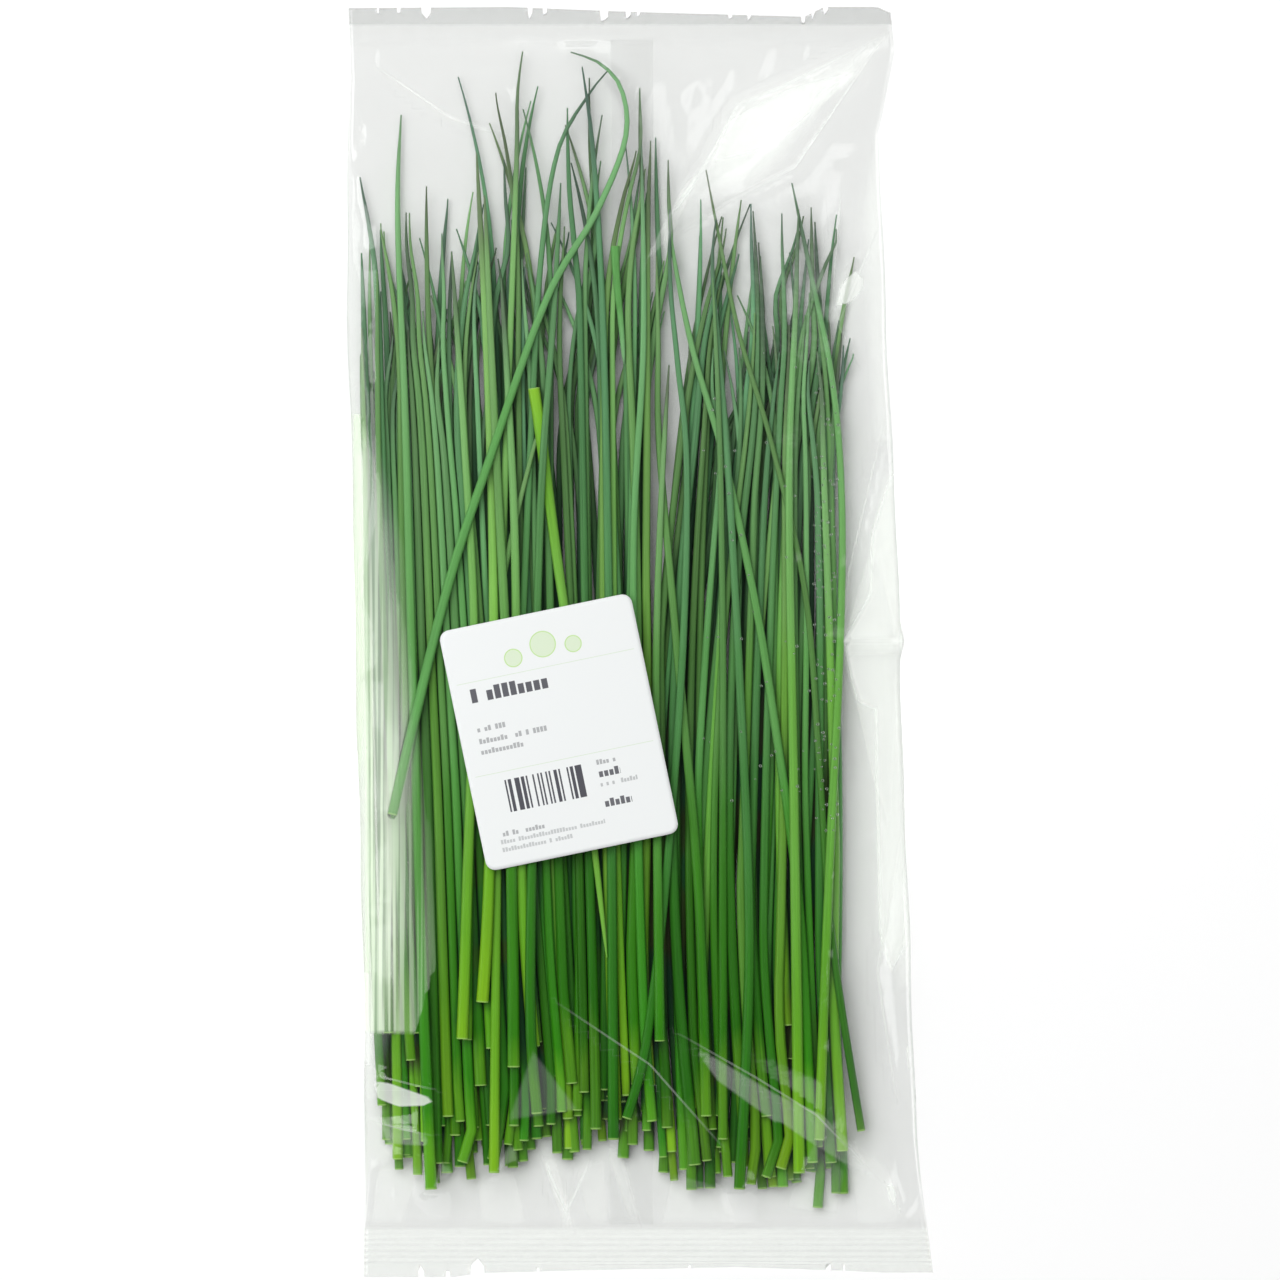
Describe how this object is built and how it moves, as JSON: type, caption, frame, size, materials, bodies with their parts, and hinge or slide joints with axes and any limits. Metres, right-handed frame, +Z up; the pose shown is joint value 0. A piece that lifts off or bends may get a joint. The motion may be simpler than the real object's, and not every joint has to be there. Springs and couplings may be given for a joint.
{
  "type": "bunch of cut chives",
  "caption": "Cut chives lying side by side in loose hanks, in a flat clear film sleeve with crimped end seals and a plain oblong label.",
  "frame": {"origin": "on the surface the pack lies on, under the middle of its box", "axes": "+Z up out of the surface, +Y from the cut ends to the leaf tips, +X to the right seen from above"},
  "size_m": [0.1774, 0.386, 0.0206],
  "materials": {
    "leaf": null,
    "film": "thin clear gloss film",
    "label": "smooth white paper"
  },
  "bodies": {
    "root": {"chives_left": "leaf", "chives_middle": "leaf", "chives_right": "leaf", "film_sleeve": "film", "label": "label"}
  },
  "joints": []
}
